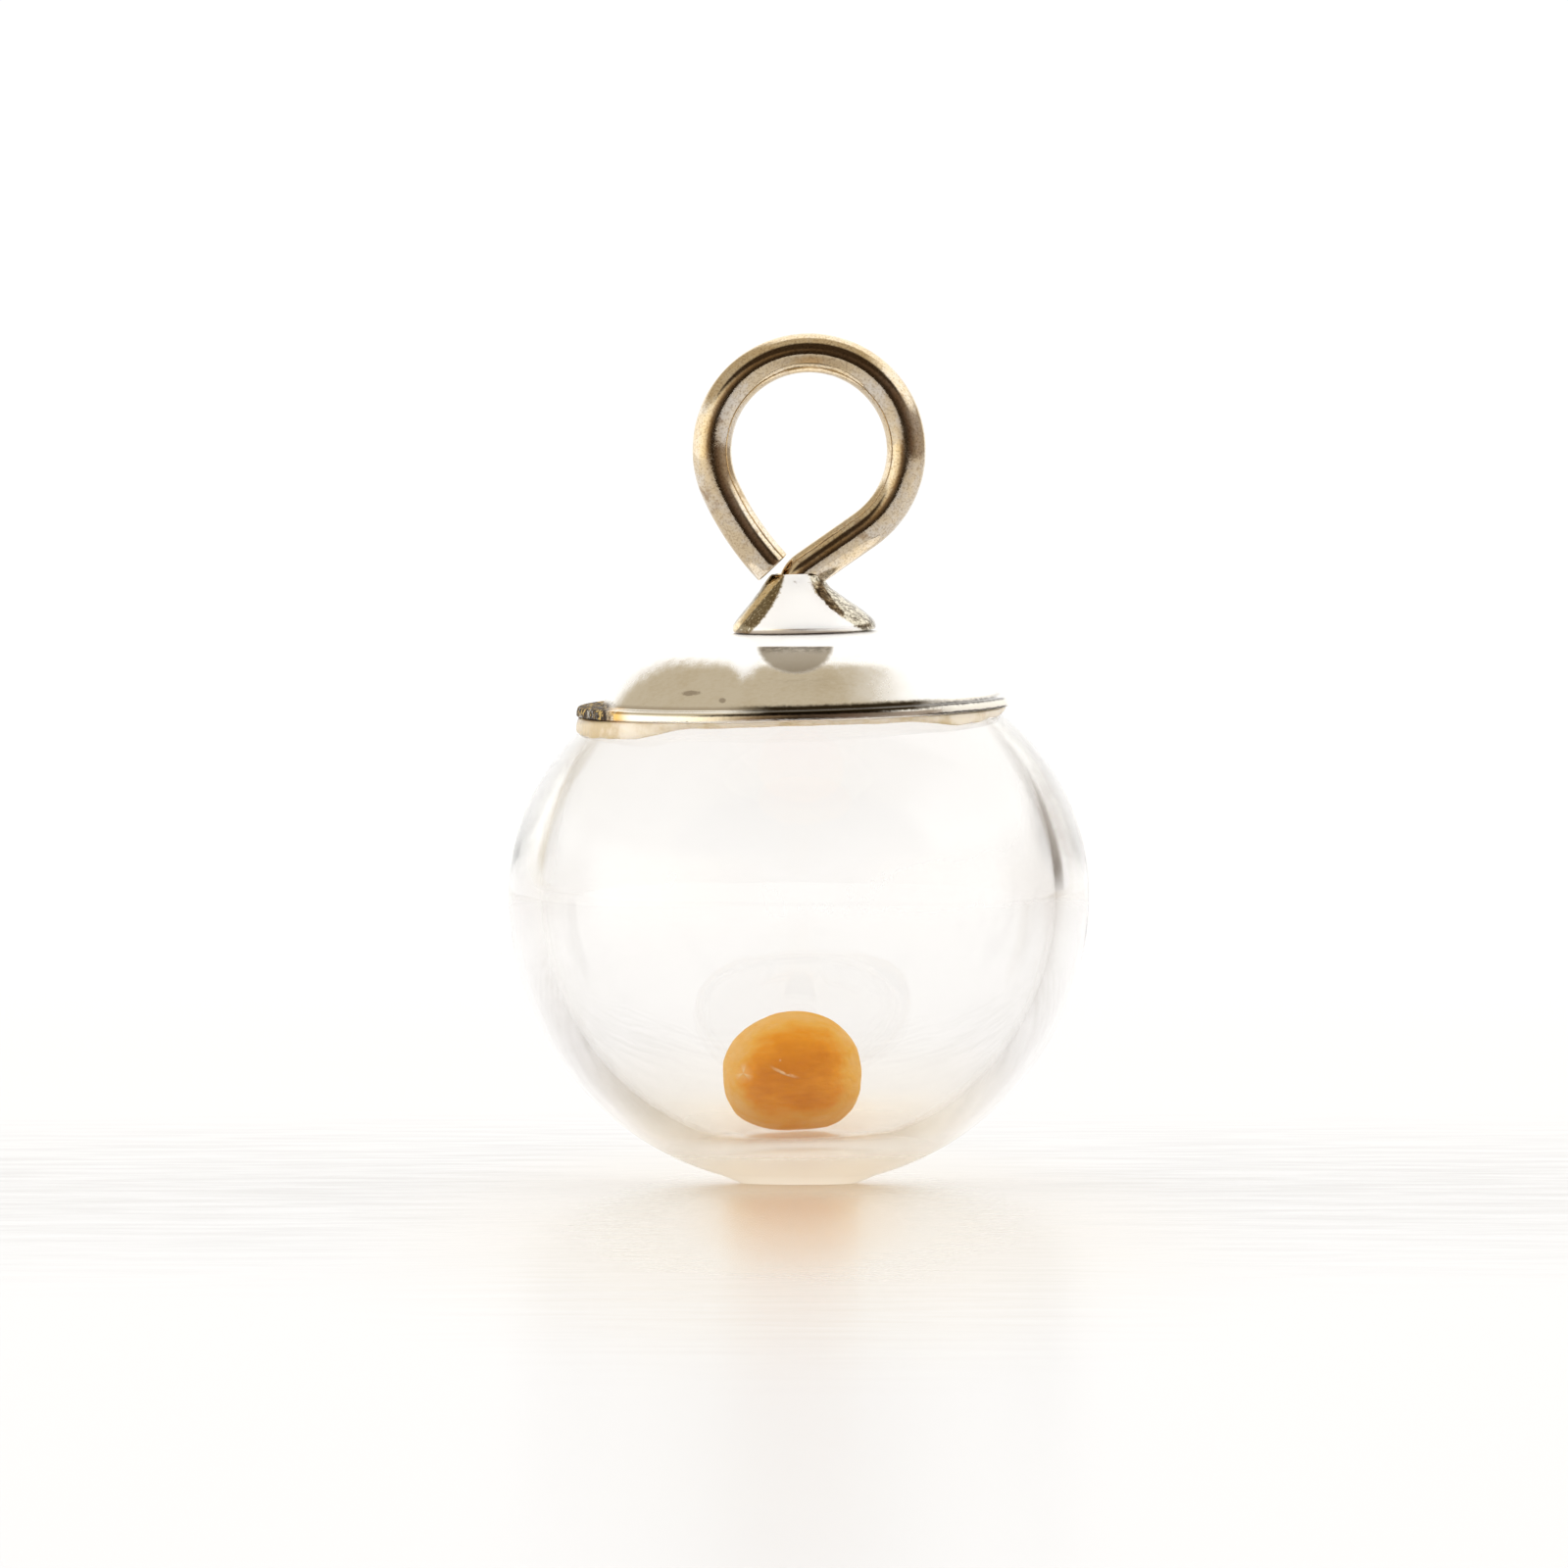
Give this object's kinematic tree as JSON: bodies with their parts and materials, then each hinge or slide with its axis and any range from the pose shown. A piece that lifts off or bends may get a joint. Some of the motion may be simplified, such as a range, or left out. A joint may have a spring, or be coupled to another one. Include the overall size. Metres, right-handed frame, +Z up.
{
  "type": "mustard seed pendant",
  "caption": "Small hollow glass globe charm with one loose seed inside, closed by a low domed metal cap with a flared collar and a bent wire eye to hang it by.",
  "frame": {"origin": "middle of the small flat underneath that the globe stands on", "axes": "+Z up, +X to the right as seen from the front, -Y towards the viewer, the wire eye facing front and back"},
  "size_m": [0.012, 0.012, 0.0175],
  "materials": {
    "clear_glass": "clear blown glass",
    "seed_coat": "dull seed coat",
    "silver_plate": "silver plated, slightly tarnished",
    "plated_wire": "silver plate worn warm over brass",
    "clear_glue": "glossy, cream coloured"
  },
  "bodies": {
    "charm": {"glass_globe": "clear_glass", "cap": "silver_plate", "collar": "silver_plate", "eye_loop": "plated_wire", "glue_bead": "clear_glue"},
    "seed": {"mustard_seed": "seed_coat"}
  },
  "joints": [
    {"name": "seed_roll", "type": "hinge", "parent": "charm", "child": "seed", "pos_m": [-0.00013, -0.00029, 0.00595], "axis": [0, 1, 0], "range_deg": [-90, 90]}
  ]
}
